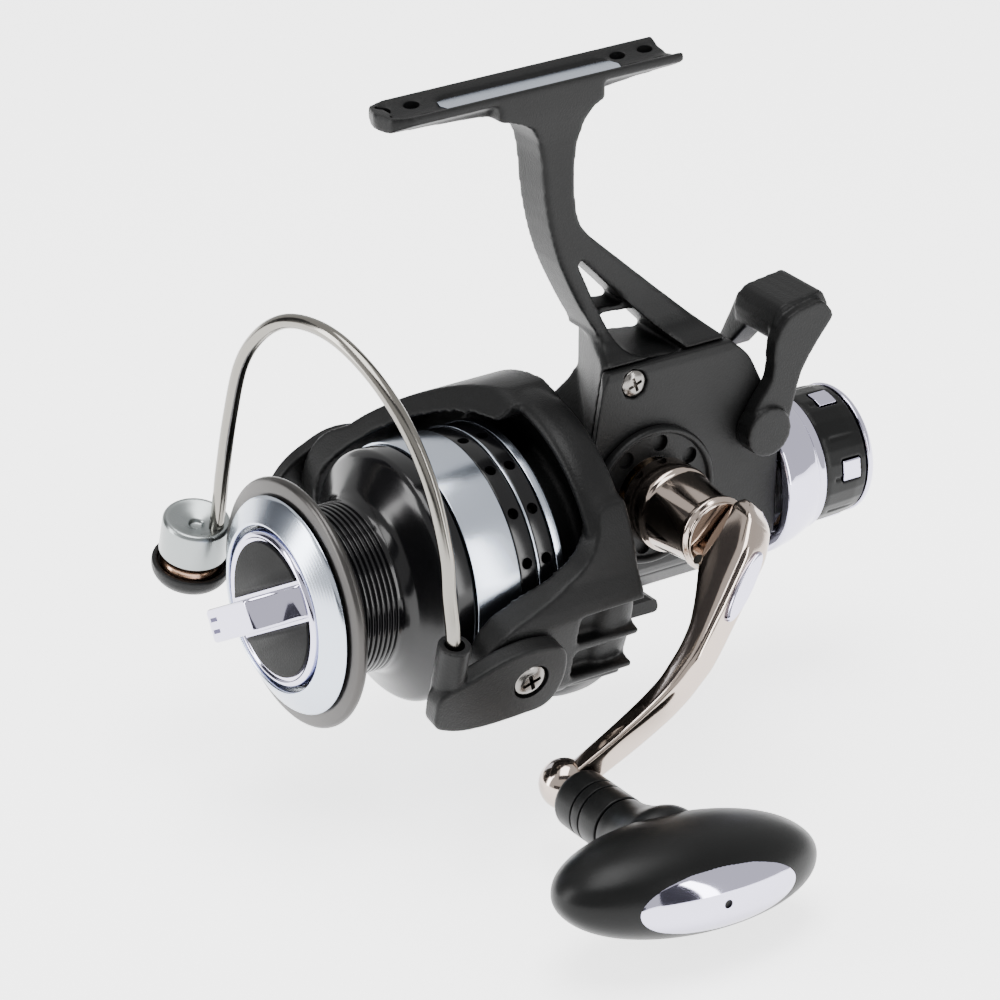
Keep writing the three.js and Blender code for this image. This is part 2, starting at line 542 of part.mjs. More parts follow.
add(
  "spool_lip",
  turned([
    [17, ARBOR_FRONT - GAP], [23.4, ARBOR_FRONT - GAP], [24.7, -51.5], [LIP_R, -52.4], [24.5, -53.2],
    [22.2, -53.6], [17, -53.2],
  ]),
  DARK_SATIN, onAxis,
);
add(
  "spool_cone_ring",
  turned([[16.5, -53.6], [21.2, -53.9], [21.8, -54.3], [21.4, -54.9], [16.9, -57.6], [16.5, -57.3]]),
  BRIGHT, onAxis,
);
const bandRing = (from, to) => ring(25.55, 24.9, from + GAP, to - GAP);
add("skirt_band_wide", bandRing(-27.4, -16.9), BRIGHT, onAxis);
add("skirt_band_thin", ring(25.5, 24.9, -12.95, -12.45), BRIGHT, onAxis);
add("skirt_band_rear", ring(25.55, 24.9, -8.9 + GAP, -6.9), BRIGHT, onAxis);

// The knob that holds the spool: a rimmed disc with a tall bar across it and two dark insets.
const BAR_TURN = -30;
let frontKnob = turned([[0, -52.8], [15.2, -52.8], [15.7, -56.2], [15.3, -57.6], [14.5, -58], [0, -58]]);
const barSide = mirrored([[0, -57], [15, -57.2], [13.6, -59, 3], [10.4, -61.6, 2], [9.2, -67, 0.6], [0, -67.2]]);
const knobBar = pushed(
  outline(barSide), 6.6, axes([1, 0, 0], [0, 1, 0], [0, 0, 1]).premultiply(new THREE.Matrix4().makeTranslation(0, 0, -3.3)),
);
const segment = (radius, low, from, to) => common(rod(radius, from, to), box(-12, 12, from, to, low, 14.5));
const lens = segment(13.7, 4.2, -58.2, -57.2);
const lensSeat = segment(13.9, 3.9, -60, -56.9);
frontKnob = cut(
  join(frontKnob, knobBar),
  lensSeat, lensSeat.rotate([0, 180, 0]),
  axisRod(SHAFT_R + GAP, -59, -50).translate([0, 0, -AXIS_Z]),
);
add("spool_knob", frontKnob.rotate([0, BAR_TURN, 0]), LILAC_CHROME, onAxis);
[0, 180].forEach((turn, i) => {
  add(`spool_knob_inset_${i + 1}`, lens.rotate([0, turn + BAR_TURN, 0]), MATT_BLACK, onAxis);
});

// ---------------------------------------------------------------- rotor
let rotor = turned([
  [4.9, -18], [18.4, -18], [19.2, -17.2], [19.2, 0], [20.2, 1.2], [27.8, 1.2], [28.9, -0.6], [29.2, -3.2],
  [30.2, -4], [31.5, -3.4], [32.2, -1.6], [32.2, 2.6], [31, 5.3], [28.8, 5.3], [28.4, 3.6], [17.2, 3.6],
  [17.2, -15.4], [8.6, -15.4], [8.6, 3], [4.9, 3],
]);
const armShell = (outer) => cut(rod(outer, -40, 10, FINE), rod(28.2, -41, 11, FINE));
const nearPlan = [
  [-31, -5, 5], [-31, 5, 4], [-26.8, 9.1, 3], [-19.9, 11.1, 3], [-12.9, 12.8, 4], [-6.7, 15.5, 4], [-2.9, 19.3, 3],
  [-1.2, 24, 3], [5.3, 24], [5.3, -13, 1], [-12, -12.4, 3], [-22, -9.4, 4],
];
const farPlanUp = [
  [-31, -5, 5], [-31, 5, 4], [-26, 12, 3], [-20, 18.6, 4], [-13, 24.6, 4], [-8, 28.6, 3], [-4.4, 31.4, 2], [5.3, 31.4],
  [5.3, -13, 1], [-12, -12.4, 3], [-22, -9.4, 4],
];
const sweep = (planOutline) => common(alongX(planOutline, 4, 40), armShell(32.6));
const slabSection = mirrored([[0, 28], [13.4, 28], [13.4, 29.8], [9.4, 33.6], [0, 33.6]]).map(([z, x]) => [x, z]);
const slabArm = (planOutline) => common(alongX(planOutline, 28.6, 33.6), alongY(slabSection, -40, 10));
const pocketRows = [[0.9, 8.2], [-7.6, -0.5], [-14, -8.9]];
const pockets = pocketRows.map(([low, high]) =>
  alongX([[-9.4, low + 0.8, 1], [-9.4, high - 0.8, 1], [6.4, high], [6.4, low]], 30.6, 40),
);
const pivotHole = onX(rod(1.7, 24, 40, COARSE)).translate([0, PIVOT_Y, 0]);
const nearArm = cut(join(sweep(nearPlan), slabArm(nearPlan)), ...pockets, pivotHole);
const farArm = cut(join(sweep(farPlanUp), slabArm(farPlanUp)), ...pockets, pivotHole).mirror([1, 0, 0]);
rotor = join(rotor, nearArm, farArm);
add("rotor", rotor, MATT_BLACK, rotorGroup);
add("pinion_gear", cut(join(ring(4.6, 0, -19.6, 12, MEDIUM), toothed(PINION_TEETH, 3.3, 4.5, 11, 19, 0)), rod(SHAFT_R + GAP, -21, 21)), BRASS, rotorGroup);
add("rotor_nut", cut(toothed(6, 7, 7.01, -23.4, -18.3, 0), rod(4.9, -24, -18, MEDIUM)), BRASS, rotorGroup);

// ---------------------------------------------------------------- bail
const BAIL_IN = 33.6 + GAP;
const BAIL_TUBE_Y = -39.8;
const TUBE_X = 34.6;
const bailPlan = [
  [PIVOT_Y + 8.4, -1, 5], [PIVOT_Y + 5.6, -7.8, 4], [PIVOT_Y - 8, -8.4, 6], [-38, -7.6, 3], [-43.6, -5, 2], [-44, 3, 3],
  [-37, 4.6, 5], [-31, 7, 5], [PIVOT_Y - 1, 8.4, 5], [PIVOT_Y + 7.4, 6.6, 5],
];
const tube = rod(3.2, -5, 12.4, MEDIUM).rotate([90, 0, 0]).translate([TUBE_X, BAIL_TUBE_Y, 0]);
const wireHole = rod(2.1, 4, 14, COARSE).rotate([90, 0, 0]).translate([TUBE_X, BAIL_TUBE_Y, 0]);
const screwSeat = onX(rod(3.9, 36.4, 42)).translate([0, PIVOT_Y, 0]);
const bailArm = cut(join(alongX(bailPlan, BAIL_IN, 38), tube), wireHole, screwSeat, pivotHole);
add("bail_arm", bailArm, MATT_BLACK, rotorGroup);

const ROLLER_X = -34.4;
const ROLLER_Y = -53.6;
const upright = (solid) => solid.rotate([-90, 0, 0]).translate([ROLLER_X, ROLLER_Y, -1.4]);
const farPlan = [
  [PIVOT_Y + 8, 0, 5], [PIVOT_Y + 5, -8, 4], [-38, -14.4, 5], [-49, -20, 3], [-49, -16.6, 2], [-40, -9.4, 4],
  [-34, 3, 4], [PIVOT_Y - 2, 8.4, 4], [PIVOT_Y + 6.6, 7, 4],
];
const rollerSeat = upright(rod(7.9, 13.5, 17.8));
const rollerArm = cut(
  join(alongX(farPlan, -36.6, -BAIL_IN), rollerSeat),
  onX(rod(1.7, -44, -24, COARSE)).translate([0, PIVOT_Y, 0]),
  upright(rod(2.1, 10, 30, COARSE)),
  upright(rod(6.8, 12, 14.7)),
);
add("roller_arm", rollerArm, MATT_BLACK, rotorGroup);

const WIRE_R = 1.45;
const WIRE_END = [-31.2, -51.1];
const wirePath = [
  [TUBE_X, BAIL_TUBE_Y, 4.6], [TUBE_X, BAIL_TUBE_Y, 9], [33.6, -39.8, 14], [30.4, -39.8, 21], [27.4, -39.9, 29],
  [20.8, -40.6, 39.4], [12.7, -41.8, 47.4], [3.4, -43.4, 52.6], [-6.7, -45.2, 55], [-15, -46.8, 54.2],
  [-22.4, -48.4, 50.6], [-27.8, -49.8, 44], [-30.8, -51, 35], [-31.4, -51.4, 22], [-31.3, -51.4, 9], [-31.2, -51.2, 2], [...WIRE_END, -3], [...WIRE_END, -8],
];
add("bail_wire", bar(wirePath, WIRE_R, 8, 40), STEEL, rotorGroup);
add(
  "roller_cap",
  cut(
    upright(turned([[0, 5.4], [1.6, 5.2], [4.4, 3.4], [6.2, 3.1], [6.8, 3.7], [6.8, 11.2], [0, 11.2]], MEDIUM)),
    rod(1.8, -8.6, 0, COARSE).rotate([90, 0, 0]).translate([WIRE_END[0], WIRE_END[1], 0]),
    upright(rod(2.1, 8.4, 12, COARSE)),
  ),
  SATIN_ALUMINIUM, rotorGroup,
);
add("roller_pin", upright(rod(1.8, 8.7, 18.4, COARSE)), STEEL, rotorGroup);
add(
  "line_roller",
  upright(turned([[2.1, 11.5], [6.4, 11.5], [5.6, 12.2], [5.6, 13], [6.3, 14.4], [2.1, 14.4]], MEDIUM)),
  COPPER, rotorGroup,
);
const armScrew = crossScrew(3.6, 1.5, 1.4, 9);
add("bail_screw", onX(armScrew).translate([36.7, PIVOT_Y, 0]), STEEL, rotorGroup);
add("roller_arm_screw", onX(armScrew).rotate([0, 180, 0]).translate([-36.9, PIVOT_Y, 0]), STEEL, rotorGroup);

export default reel;
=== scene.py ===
# %% [markdown]
# # A rear-drag spinning reel
# The reel is a set of turned, moulded and bent pieces that sit on the CAD frame. Every piece rides on a
# body of the frame, so the handle, rotor, bail, spool and lever still move. Sizes are written in
# millimetres and turned into metres when a mesh is made.

# %% Setup and the frame
import json
import math

import bmesh
import bpy
import numpy as np
from mathutils import Matrix, Vector


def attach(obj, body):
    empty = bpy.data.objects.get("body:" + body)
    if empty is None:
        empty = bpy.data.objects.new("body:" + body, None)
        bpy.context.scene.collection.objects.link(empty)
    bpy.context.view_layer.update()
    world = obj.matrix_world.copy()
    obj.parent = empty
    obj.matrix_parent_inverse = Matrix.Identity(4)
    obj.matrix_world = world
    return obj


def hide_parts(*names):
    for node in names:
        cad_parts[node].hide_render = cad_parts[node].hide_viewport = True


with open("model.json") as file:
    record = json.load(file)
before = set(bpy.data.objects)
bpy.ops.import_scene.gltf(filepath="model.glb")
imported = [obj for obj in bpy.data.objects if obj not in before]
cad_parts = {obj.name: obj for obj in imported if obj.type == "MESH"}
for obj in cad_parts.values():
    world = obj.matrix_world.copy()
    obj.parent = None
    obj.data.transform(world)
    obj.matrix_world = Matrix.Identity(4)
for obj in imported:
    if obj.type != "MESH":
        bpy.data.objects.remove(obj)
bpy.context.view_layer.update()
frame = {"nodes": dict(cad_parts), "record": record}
MM = 0.001
AXIS_Z = -96.0
HANDLE_Y, HANDLE_Z = 20.7, -86.6
CRANK_R = 56.5  # from the handle shaft to the knob shaft
KNOB_X, KNOB_TILT = 83.0, 5.5
ROUND = 160  # sides of a large turned piece
print("frame loaded:", len(frame["nodes"]), "nodes")

# %% [markdown]
# ## Frames
# A piece is drawn in the plainest frame for it: about the main shaft, about the handle shaft, hanging
# with the crank, or turned with the rotor. A frame is a 4x4 matrix that carries those coordinates into
# the row frame. Rotating once here keeps every later outline simple.

# %% Frames
def turn(axis, degrees):
    return np.array(Matrix.Rotation(math.radians(degrees), 4, axis))


def shift(x, y, z):
    return np.array(Matrix.Translation((x, y, z)))


SHAFT = shift(0, 0, AXIS_Z)
ROTOR = SHAFT @ turn("Y", 15)
HANDLE = shift(0, HANDLE_Y, HANDLE_Z)
CRANK = HANDLE @ turn("X", -45)
GRIP = CRANK @ shift(0, 0, -CRANK_R) @ turn("X", 45)
KNOB = GRIP @ shift(KNOB_X, 0, 0) @ turn("X", -KNOB_TILT)
LATHE_X = turn("Z", -90)  # a lathe about Y becomes a lathe about X
ROLLER = ROTOR @ shift(-34.4, -53.6, -1.4) @ turn("X", -90)
print("frames ready")

# %% [markdown]
# ## Materials
# Three effects are shared as node groups that give out a height or a mask only: fine moulded grain, the
# rings a lathe leaves, and slow smudges in a polish. Each material keeps its own shader and sets its own
# constants.

# %% Shared effects
def effect(name, build):
    """A node group with one float output called Value; build(nodes, links) returns the socket to give out."""
    group = bpy.data.node_groups.new(name, "ShaderNodeTree")
    group.interface.new_socket("Value", in_out="OUTPUT", socket_type="NodeSocketFloat")
    out = group.nodes.new("NodeGroupOutput")
    group.links.new(build(group.nodes, group.links), out.inputs[0])
    return group


def noise_value(scale, detail, roughness=0.5):
    """Returns a builder of plain noise on object coordinates."""
    def build(nodes, links):
        place = nodes.new("ShaderNodeTexCoord")
        noise = nodes.new("ShaderNodeTexNoise")
        noise.inputs["Scale"].default_value = scale
        noise.inputs["Detail"].default_value = detail
        noise.inputs["Roughness"].default_value = roughness
        links.new(place.outputs["Object"], noise.inputs["Vector"])
        return noise.outputs[0]
    return build


def ring_value(axis, pitch_mm):
    """Returns a builder of a sine wave along one axis: the marks of a lathe tool."""
    def build(nodes, links):
        place = nodes.new("ShaderNodeTexCoord")
        split = nodes.new("ShaderNodeSeparateXYZ")
        scale = nodes.new("ShaderNodeMath")
        scale.operation = "MULTIPLY"
        scale.inputs[1].default_value = 2 * math.pi / (pitch_mm * MM)
        wave = nodes.new("ShaderNodeMath")
        wave.operation = "SINE"
        links.new(place.outputs["Object"], split.inputs[0])
        links.new(split.outputs[axis], scale.inputs[0])
        links.new(scale.outputs[0], wave.inputs[0])
        return wave.outputs[0]
    return build


EFFECTS = {
    "grain": effect("moulded_grain", noise_value(2600.0, 2.0, 0.6)),
    "smudge": effect("polish_smudges", noise_value(60.0, 3.0)),
    "turned": effect("lathe_marks", ring_value(1, 0.33)),
}
print("effects:", list(EFFECTS))


# %% [markdown]
# ### Finishes
# Matt parts are a nearly black plastic with grain in the normal. Chrome parts are full metals whose tint
# carries the lilac or rose of the plating. Roughness varies a little with the smudge mask, so no surface
# is sterile.

# %% Finishes
def finish(name, color, rough, metal=0.0, bumps=(), spread=0.05, specular=0.5):
    """A principled material. Roughness runs from rough - spread to rough + spread with the smudge mask;
    bumps are pairs of an effect and its height in millimetres."""
    material = bpy.data.materials.new(name)
    material.use_nodes = True
    nodes, links = material.node_tree.nodes, material.node_tree.links
    shader = nodes["Principled BSDF"]
    shader.inputs["Base Color"].default_value = (*color, 1)
    shader.inputs["Metallic"].default_value = metal
    shader.inputs["Specular IOR Level"].default_value = specular
    smudge = nodes.new("ShaderNodeGroup")
    smudge.node_tree = EFFECTS["smudge"]
    span = nodes.new("ShaderNodeMapRange")
    span.inputs["From Min"].default_value = 0.3
    span.inputs["From Max"].default_value = 0.7
    span.inputs["To Min"].default_value = max(rough - spread, 0.02)
    span.inputs["To Max"].default_value = rough + spread
    links.new(smudge.outputs[0], span.inputs["Value"])
    links.new(span.outputs[0], shader.inputs["Roughness"])
    last = None
    for key, height in bumps:
        group = nodes.new("ShaderNodeGroup")
        group.node_tree = EFFECTS[key]
        bump = nodes.new("ShaderNodeBump")
        bump.inputs["Distance"].default_value = height * MM
        bump.inputs["Strength"].default_value = 1.0
        links.new(group.outputs[0], bump.inputs["Height"])
        if last:
            links.new(last.outputs[0], bump.inputs["Normal"])
        last = bump
    if last:
        links.new(last.outputs[0], shader.inputs["Normal"])
    return material


M = {
    "matt_black": finish("matt_black", (0.0045, 0.0046, 0.0047), 0.42, bumps=(("grain", 0.07),),
                         spread=0.04, specular=0.16),
    "soft_black": finish("soft_black", (0.0035, 0.0037, 0.0037), 0.36, bumps=(("grain", 0.02),),
                         specular=0.16),
    "inset_black": finish("inset_black", (0.0025, 0.0026, 0.0026), 0.5, bumps=(("grain", 0.05),),
                          specular=0.08),
    "gloss_black": finish("gloss_black", (0.0025, 0.0025, 0.003), 0.16, spread=0.03, specular=0.32),
    "dark_satin": finish("dark_satin", (0.06, 0.057, 0.055), 0.34, metal=0.9),
    "bright": finish("bright", (0.52, 0.57, 0.66), 0.2, metal=1.0, bumps=(("turned", 0.0022),),
                     spread=0.03),
    "lilac_chrome": finish("lilac_chrome", (0.6, 0.58, 0.74), 0.07, metal=1.0, spread=0.02),
    "black_nickel": finish("black_nickel", (0.46, 0.385, 0.335), 0.1, metal=1.0, spread=0.03),
    "steel": finish("steel", (0.21, 0.2, 0.18), 0.16, metal=1.0, spread=0.04),
    "screw_steel": finish("screw_steel", (0.2, 0.19, 0.18), 0.24, metal=1.0, spread=0.05),
    "satin_aluminium": finish("satin_aluminium", (0.27, 0.29, 0.29), 0.3, metal=1.0,
                              bumps=(("turned", 0.002),)),
    "brass": finish("brass", (0.6, 0.4, 0.15), 0.3, metal=1.0),
    "copper": finish("copper", (0.4, 0.25, 0.17), 0.22, metal=1.0),
    "zinc": finish("zinc", (0.35, 0.36, 0.37), 0.4, metal=1.0),
    "fibre": finish("fibre", (0.15, 0.1, 0.065), 0.8),
}
for node in frame["nodes"].values():
    slot_name = next(s["material_slot"] for s in frame["record"]["subparts"] if s["node"] == node.name)
    node.data.materials.clear()
    node.data.materials.append(M[slot_name])
print("finishes:", len(M))

# %% [markdown]
# ## Tools for surfaces
# A turned piece is a profile swept round an axis, a moulded piece is an outline pushed through its
# thickness with rounded edges, and a wire is a circle carried along a curve. All of them are grids
# computed with numpy.

# %% Tools for surfaces
def to_object(name, points, faces, material, body, replaces=(), slot=None, smooth_angle=35):
    """Makes an object from points in row-frame millimetres; faces face outward after a recalculation."""
    mesh = bpy.data.meshes.new(name)
    mesh.from_pydata((np.asarray(points) * MM).tolist(), [], faces)
    mesh.validate()
    repair = bmesh.new()
    repair.from_mesh(mesh)
    bmesh.ops.remove_doubles(repair, verts=repair.verts, dist=1e-7)
    bmesh.ops.recalc_face_normals(repair, faces=repair.faces)
    repair.to_mesh(mesh)
    repair.free()
    obj = bpy.data.objects.new(name, mesh)
    bpy.context.collection.objects.link(obj)
    mesh.materials.append(M[material])
    shade(obj, smooth_angle)
    if body:
        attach(obj, body)
        if replaces:
            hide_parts(*replaces)
    return obj


def shade(obj, degrees=35):
    """Smooth faces, with edges sharper than the angle kept sharp."""
    mesh = obj.data
    mesh.polygons.foreach_set("use_smooth", np.ones(len(mesh.polygons), dtype=bool))
    mesh.set_sharp_from_angle(angle=math.radians(degrees))


def apply(matrix, points):
    points = np.asarray(points, dtype=float)
    return points @ matrix[:3, :3].T + matrix[:3, 3]


def rounded(points, closed=True, steps=5):
    """Corners [u, v, radius] to a dense outline. Each radius is a blend cut back from its corner c, from
    a to b: p(t) = (1 - t)^2 a + 2 t (1 - t) c + t^2 b."""
    pts = [(p[0], p[1], p[2] if len(p) > 2 else 0.0) for p in points]
    out = []
    count = len(pts)
    for i, (u, v, r) in enumerate(pts):
        here = np.array([u, v])
        if r <= 0 or (not closed and i in (0, count - 1)):
            out.append(here)
            continue
        before, after = np.array(pts[i - 1][:2]), np.array(pts[(i + 1) % count][:2])
        a, b = before - here, after - here
        reach = min(r, 0.48 * np.linalg.norm(a), 0.48 * np.linalg.norm(b))
        start = here + a / np.linalg.norm(a) * reach
        end = here + b / np.linalg.norm(b) * reach
        for t in np.linspace(0, 1, steps + 1):
            out.append((1 - t) ** 2 * start + 2 * t * (1 - t) * here + t ** 2 * end)
    return np.array(out)


def grid_faces(rows, columns, wrap_rows=False, wrap_columns=True):
    """Quads of a grid of rows by columns of points, closed round either way."""
    r = np.arange(rows if wrap_rows else rows - 1)
    c = np.arange(columns if wrap_columns else columns - 1)
    r, c = np.meshgrid(r, c, indexing="ij")
    r2, c2 = (r + 1) % rows, (c + 1) % columns
    quads = np.stack([r * columns + c, r * columns + c2, r2 * columns + c2, r2 * columns + c], axis=-1)
    return quads.reshape(-1, 4).tolist()


def lathe(name, profile, place, material, body, replaces=(), sides=ROUND, steps=4, **more):
    """Turns a closed profile of [radius, along, rounding] about local Y: x = r cos a, z = r sin a."""
    line = rounded(profile, steps=steps)
    angle = np.linspace(0, 2 * math.pi, sides, endpoint=False)
    radius, along = np.maximum(line[:, :1], 0), line[:, 1:]
    points = np.stack([radius * np.cos(angle), along + 0 * angle, radius * np.sin(angle)], axis=-1)
    faces = grid_faces(len(line), sides, wrap_rows=True)
    return to_object(name, apply(place, points.reshape(-1, 3)), faces, material, body, replaces, **more)


def slab(name, outline, low, high, edge, plane, place, material, body, replaces=(), steps=5, rim=4, **more):
    """Pushes a rounded outline between two levels. Each rim is a quarter round of radius edge, q from 0
    to pi/2: inset = edge (1 - sin q), level = low + edge (1 - cos q)."""
    line = rounded(outline, steps=steps)
    before, after = np.roll(line, 1, axis=0), np.roll(line, -1, axis=0)
    along = after - before
    normal = np.stack([along[:, 1], -along[:, 0]], axis=-1)
    normal /= np.maximum(np.linalg.norm(normal, axis=1, keepdims=True), 1e-9)
    area = np.sum(line[:, 0] * np.roll(line[:, 1], -1) - np.roll(line[:, 0], -1) * line[:, 1])
    normal *= 1 if area > 0 else -1
    quarter = np.linspace(0, math.pi / 2, rim + 1)
    levels = [(edge * (1 - math.sin(q)), low + edge * (1 - math.cos(q))) for q in quarter]
    levels += [(inset, high + low - level) for inset, level in reversed(levels)]
    rings = []
    for inset, level in levels:
        flat = line - normal * inset
        height = np.full(len(line), level)
        rings.append(plane(flat[:, 0], flat[:, 1], height))
    points = np.concatenate(rings)
    count = len(line)
    faces = grid_faces(len(levels), count)
    faces.append(list(range(count))[::-1])
    faces.append(list(range((len(levels) - 1) * count, len(levels) * count)))
    return to_object(name, apply(place, points), faces, material, body, replaces, **more)


def along_x(u, v, h):
    return np.stack([h, u, v], axis=-1)


def along_y(u, v, h):
    return np.stack([u, h, v], axis=-1)


def along_z(u, v, h):
    return np.stack([u, v, h], axis=-1)


def smooth_path(points, count):
    """A Catmull-Rom curve through the points, resampled to count points."""
    p = np.asarray(points, dtype=float)
    p = np.vstack([2 * p[0] - p[1], p, 2 * p[-1] - p[-2]])
    t = np.linspace(0, len(p) - 3 - 1e-6, count)
    i = t.astype(int)
    f = (t - i)[:, None]
    a, b, c, d = p[i], p[i + 1], p[i + 2], p[i + 3]
    square, cube = 2 * a - 5 * b + 4 * c - d, 3 * b - a - 3 * c + d
    return 0.5 * (2 * b + (c - a) * f + square * f ** 2 + cube * f ** 3)


def tube(name, path, radius, place, material, body, replaces=(), sides=28, **more):
    """A round bar along a path, p + r (side cos a + up sin a); radius is one number or one per point."""
    path = np.asarray(path, dtype=float)
    tangent = np.gradient(path, axis=0)
    tangent /= np.linalg.norm(tangent, axis=1, keepdims=True)
    side = np.cross(tangent, np.array([0.21, 0.93, 0.3]))
    side /= np.linalg.norm(side, axis=1, keepdims=True)
    up = np.cross(tangent, side)
    angle = np.linspace(0, 2 * math.pi, sides, endpoint=False)
    radius = np.broadcast_to(radius, len(path))[:, None, None]
    circle = np.cos(angle)[None, :, None] * side[:, None] + np.sin(angle)[None, :, None] * up[:, None]
    points = (path[:, None] + radius * circle).reshape(-1, 3)
    faces = grid_faces(len(path), sides)
    faces.append(list(range(sides)))
    faces.append(list(range((len(path) - 1) * sides, len(path) * sides)))
    return to_object(name, apply(place, points), faces, material, body, replaces, **more)


def bake(obj, degrees=35):
    """Turns an object's modifiers into plain mesh."""
    graph = bpy.context.evaluated_depsgraph_get()
    mesh = bpy.data.meshes.new_from_object(obj.evaluated_get(graph))
    obj.modifiers.clear()
    obj.data = mesh
    shade(obj, degrees)
    return obj


def combine(obj, tools, operation="DIFFERENCE"):
    """Cuts or joins helper objects into obj and removes them."""
    for tool in tools:
        step = obj.modifiers.new("step", "BOOLEAN")
        step.operation = operation
        step.object = tool
        step.solver = "EXACT"
    bake(obj)
    for tool in tools:
        bpy.data.objects.remove(tool, do_unlink=True)
    return obj


def soften(obj, voxel_mm, rounds, factor=0.5):
    """Rounds a sharp solid as a mould does: even voxels, then smoothing by rounds."""
    remesh = obj.modifiers.new("even", "REMESH")
    remesh.mode = "VOXEL"
    remesh.voxel_size = voxel_mm * MM
    relax = obj.modifiers.new("relax", "SMOOTH")
    relax.factor = factor
    relax.iterations = rounds
    return bake(obj, 180)


def copy_of(node, name, material, body, replaces=None):
    """A new piece that starts as the CAD node's shape."""
    source = frame["nodes"][node]
    obj = bpy.data.objects.new(name, source.data.copy())
    bpy.context.collection.objects.link(obj)
    obj.data.materials.clear()
    obj.data.materials.append(M[material])
    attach(obj, body)
    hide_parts(*(replaces or [node]))
    return obj


def tool_rod(radius, low, high, place, sides=48):
    """A plain cylinder about local Y, for cutting."""
    side = [[0, low], [radius, low], [radius, high], [0, high]]
    return lathe("tool", side, place, "zinc", None, sides=sides)


print("tools ready")

# %% [markdown]
# ## Gear case, stem and foot
# One casting in the real reel: a die filled with alloy or reinforced nylon, so every outer edge has a
# mould radius. The sharp solid is remeshed evenly and relaxed, which rounds edges and fillets inner
# corners alike.

# %% Gear case, stem and foot
case = soften(copy_of("gear_case", "gear_case_moulded", "matt_black", "frame"), 0.5, 6)
DIMPLE_X, DIMPLE_Y = (-2.7, 2.7), (-29.8, -23.4, 23.4, 29.8)
OVAL = np.diag([1.0, 1.75, 1, 1])  # stretches a round hole along the foot
foot_holes = []
for y in DIMPLE_Y:
    for x in DIMPLE_X:
        foot_holes.append(tool_rod(1, -0.9, 2.0, shift(x, y, -1.4) @ OVAL @ turn("X", 90), 40))
combine(case, foot_holes)
print("gear case:", len(case.data.polygons), "faces")

cover = soften(copy_of("side_cover", "side_cover_moulded", "matt_black", "frame"), 0.3, 3)
print("side cover:", len(cover.data.polygons), "faces")

# %% [markdown]
# ## Handle seat
# A dished ring over the handle bearing, with a circle of vents in it so that water can drain.

# %% Handle seat
SEAT_X = 13.6  # the face of the side cover
VENTS, VENT_RING, VENT_R = 8, 10.8, 1.75
seat = lathe(
    "handle_seat_dish",
    [[8.1, 0], [14.4, 0, 0.4], [14.4, 1.5, 0.6], [13.9, 2.1, 0.4], [13.2, 1.9, 0.4], [12.9, 0.9, 0.3],
     [8.1, 0.9, 0.2]],
    HANDLE @ shift(SEAT_X, 0, 0) @ LATHE_X, "matt_black", "frame", ["handle_seat"],
)
vents = []
for i in range(VENTS):
    place = HANDLE @ turn("X", -(10 + i * 360 / VENTS)) @ shift(SEAT_X, -VENT_RING, 0) @ LATHE_X
    vents.append(tool_rod(VENT_R, -1, 3, place, 32))
combine(seat, vents)
print("seat with", len(vents), "vents")

# %% [markdown]
# ## Rotor
# The cup that carries the bail round the spool. The rim is a turned profile. Each arm is a plan outline
# pushed sideways and kept only where it meets a tubular shell, which gives the long curved wings their
# true saddle edge. The bail arm and the roller arm are flat plates with a tube and a cup joined to them.

# %% Rotor
cup = [
    [4.9, -18], [18.4, -18, 0.5], [19.2, -17.2, 0.5], [19.2, 0, 1], [20.2, 1.2, 1], [27.8, 1.2, 1],
    [28.9, -0.6, 1], [29.2, -3.2, 0.6], [30.2, -4, 0.6], [31.5, -3.4, 0.8], [32.2, -1.6, 1], [32.2, 2.6, 1.5],
    [31, 5.3, 1], [28.8, 5.3, 0.5], [28.4, 3.6, 0.5], [17.2, 3.6], [17.2, -15.4], [8.6, -15.4], [8.6, 3],
    [4.9, 3],
]
near_plan = [
    [-31, -5, 5], [-31, 5, 4], [-26.8, 9.1, 3], [-19.9, 11.1, 3], [-12.9, 12.8, 4], [-6.7, 15.5, 4],
    [-2.9, 19.3, 3], [-1.2, 24, 3], [5.3, 24], [5.3, -13, 1], [-12, -12.4, 3], [-22, -9.4, 4],
]
far_plan = [
    [-31, -5, 5], [-31, 5, 4], [-26, 12, 3], [-20, 18.6, 4], [-13, 24.6, 4], [-8, 28.6, 3], [-4.4, 31.4, 2],
    [5.3, 31.4], [5.3, -13, 1], [-12, -12.4, 3], [-22, -9.4, 4],
]
arm_section = [[28, -13.4], [29.8, -13.4, 2], [33.6, -9.4, 2], [33.6, 9.4, 2], [29.8, 13.4, 2], [28, 13.4]]
PIVOT_Y = -22.5  # the bail hinge, along the shaft
POCKETS = ((0.9, 8.2), (-7.6, -0.5), (-14, -8.9))


